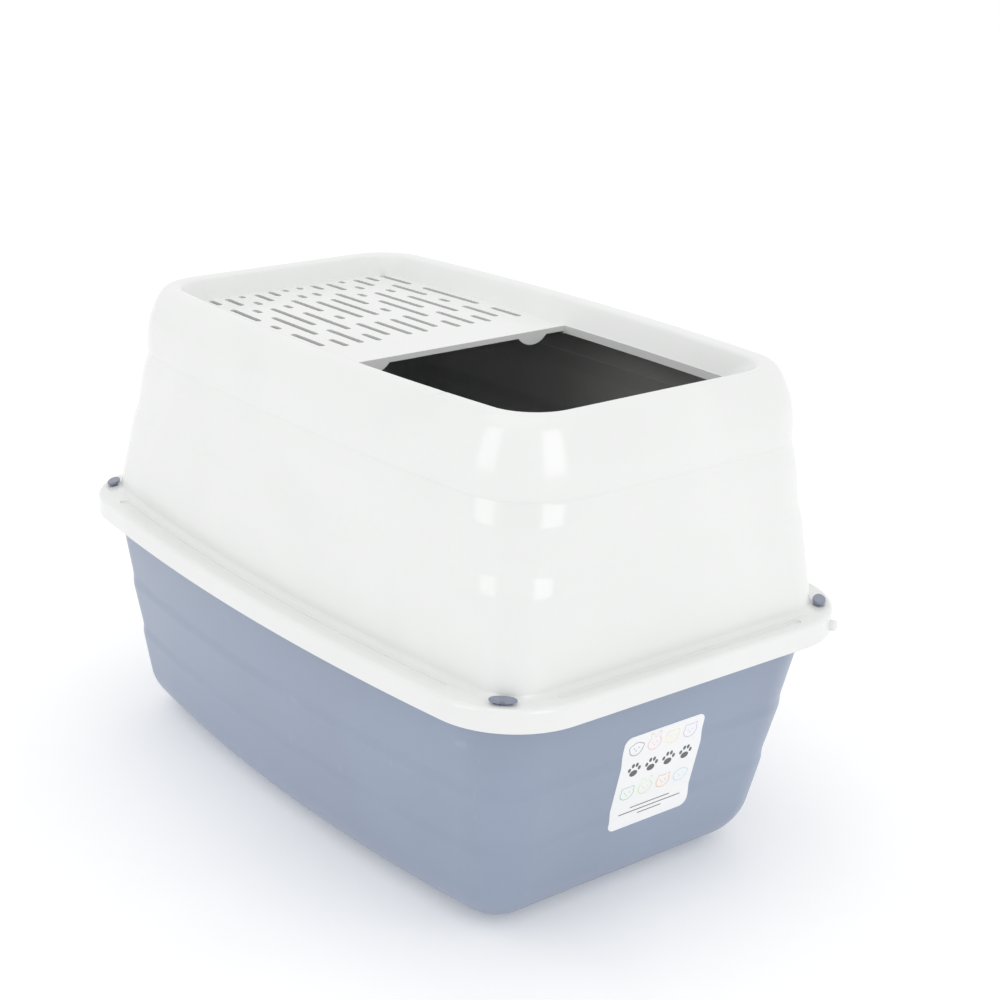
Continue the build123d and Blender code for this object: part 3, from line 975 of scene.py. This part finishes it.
class LITTER_OT_stage(bpy.types.Operator):
    """Build the floor, the soft studio light and the camera"""
    bl_idname = "litter_box.stage"
    bl_label = "Stage"

    def execute(self, context):
        size = context.scene.litter_stage
        floor = primitive(bpy.ops.mesh.primitive_plane_add, "floor", size=40.0, location=(0, 0, 0))
        sweep = plastic("Studio Floor", size.floor, 0.004, 0.75, 60.0, 0.02, 0.0)
        shader = sweep.node_tree.nodes["Principled BSDF"]
        shader.inputs["Emission Color"].default_value = (*size.floor, 1.0)
        shader.inputs["Emission Strength"].default_value = size.floor_glow
        paint(floor, sweep)
        for light in LIGHTS:
            softbox(*light)
        world = bpy.data.worlds.new("Studio")
        world.use_nodes = True
        sky = world.node_tree.nodes["Background"]
        sky.inputs["Color"].default_value = (1.0, 1.0, 1.0, 1.0)
        sky.inputs["Strength"].default_value = WORLD_STRENGTH
        context.scene.world = world
        context.scene.view_settings.view_transform = "Standard"

        data = bpy.data.cameras.new("Camera")
        data.lens = size.lens
        data.shift_x, data.shift_y = size.shift
        camera = bpy.data.objects.new("Camera", data)
        context.scene.collection.objects.link(camera)
        back = Vector((math.sin(size.azimuth) * math.cos(size.elevation),
                       -math.cos(size.azimuth) * math.cos(size.elevation), math.sin(size.elevation)))
        right = Vector((math.cos(size.azimuth), math.sin(size.azimuth), 0.0))
        up = back.cross(right)
        rolled_right = right * math.cos(size.roll) + up * math.sin(size.roll)
        rolled_up = up * math.cos(size.roll) - right * math.sin(size.roll)
        turn = Matrix((rolled_right, rolled_up, back)).transposed().to_4x4()
        camera.matrix_world = Matrix.Translation(size.camera_at) @ turn
        context.scene.camera = camera
        return {"FINISHED"}


class LITTER_PT_panel(bpy.types.Panel):
    bl_idname = "LITTER_PT_panel"
    bl_label = "Litter Box"
    bl_space_type = "VIEW_3D"
    bl_region_type = "UI"
    bl_category = "Litter Box"

    def draw(self, context):
        for operator, _ in OPERATORS:
            self.layout.operator(operator.bl_idname)
        for name, kind in SETTINGS.items():
            box = self.layout.box()
            box.label(text=name.replace("litter_", "").capitalize())
            for key in kind.__annotations__:
                box.prop(getattr(context.scene, name), key)


SETTINGS = {"litter_hood": HoodSettings, "litter_tray": TraySettings, "litter_pins": PinSettings,
            "litter_label": LabelSettings, "litter_stage": StageSettings}
OPERATORS = ((LITTER_OT_tray, bpy.ops.litter_box.tray), (LITTER_OT_hood, bpy.ops.litter_box.hood),
             (LITTER_OT_pins, bpy.ops.litter_box.pins), (LITTER_OT_label, bpy.ops.litter_box.label),
             (LITTER_OT_stage, bpy.ops.litter_box.stage))


def register():
    for kind in (*SETTINGS.values(), *(operator for operator, _ in OPERATORS), LITTER_PT_panel):
        bpy.utils.register_class(kind)
    for name, kind in SETTINGS.items():
        setattr(bpy.types.Scene, name, PointerProperty(type=kind))


def unregister():
    for name in SETTINGS:
        delattr(bpy.types.Scene, name)
    for kind in (*SETTINGS.values(), *(operator for operator, _ in OPERATORS), LITTER_PT_panel):
        bpy.utils.unregister_class(kind)


def main():
    register()
    for _, build in OPERATORS:
        build()


if __name__ == "__main__":
    main()
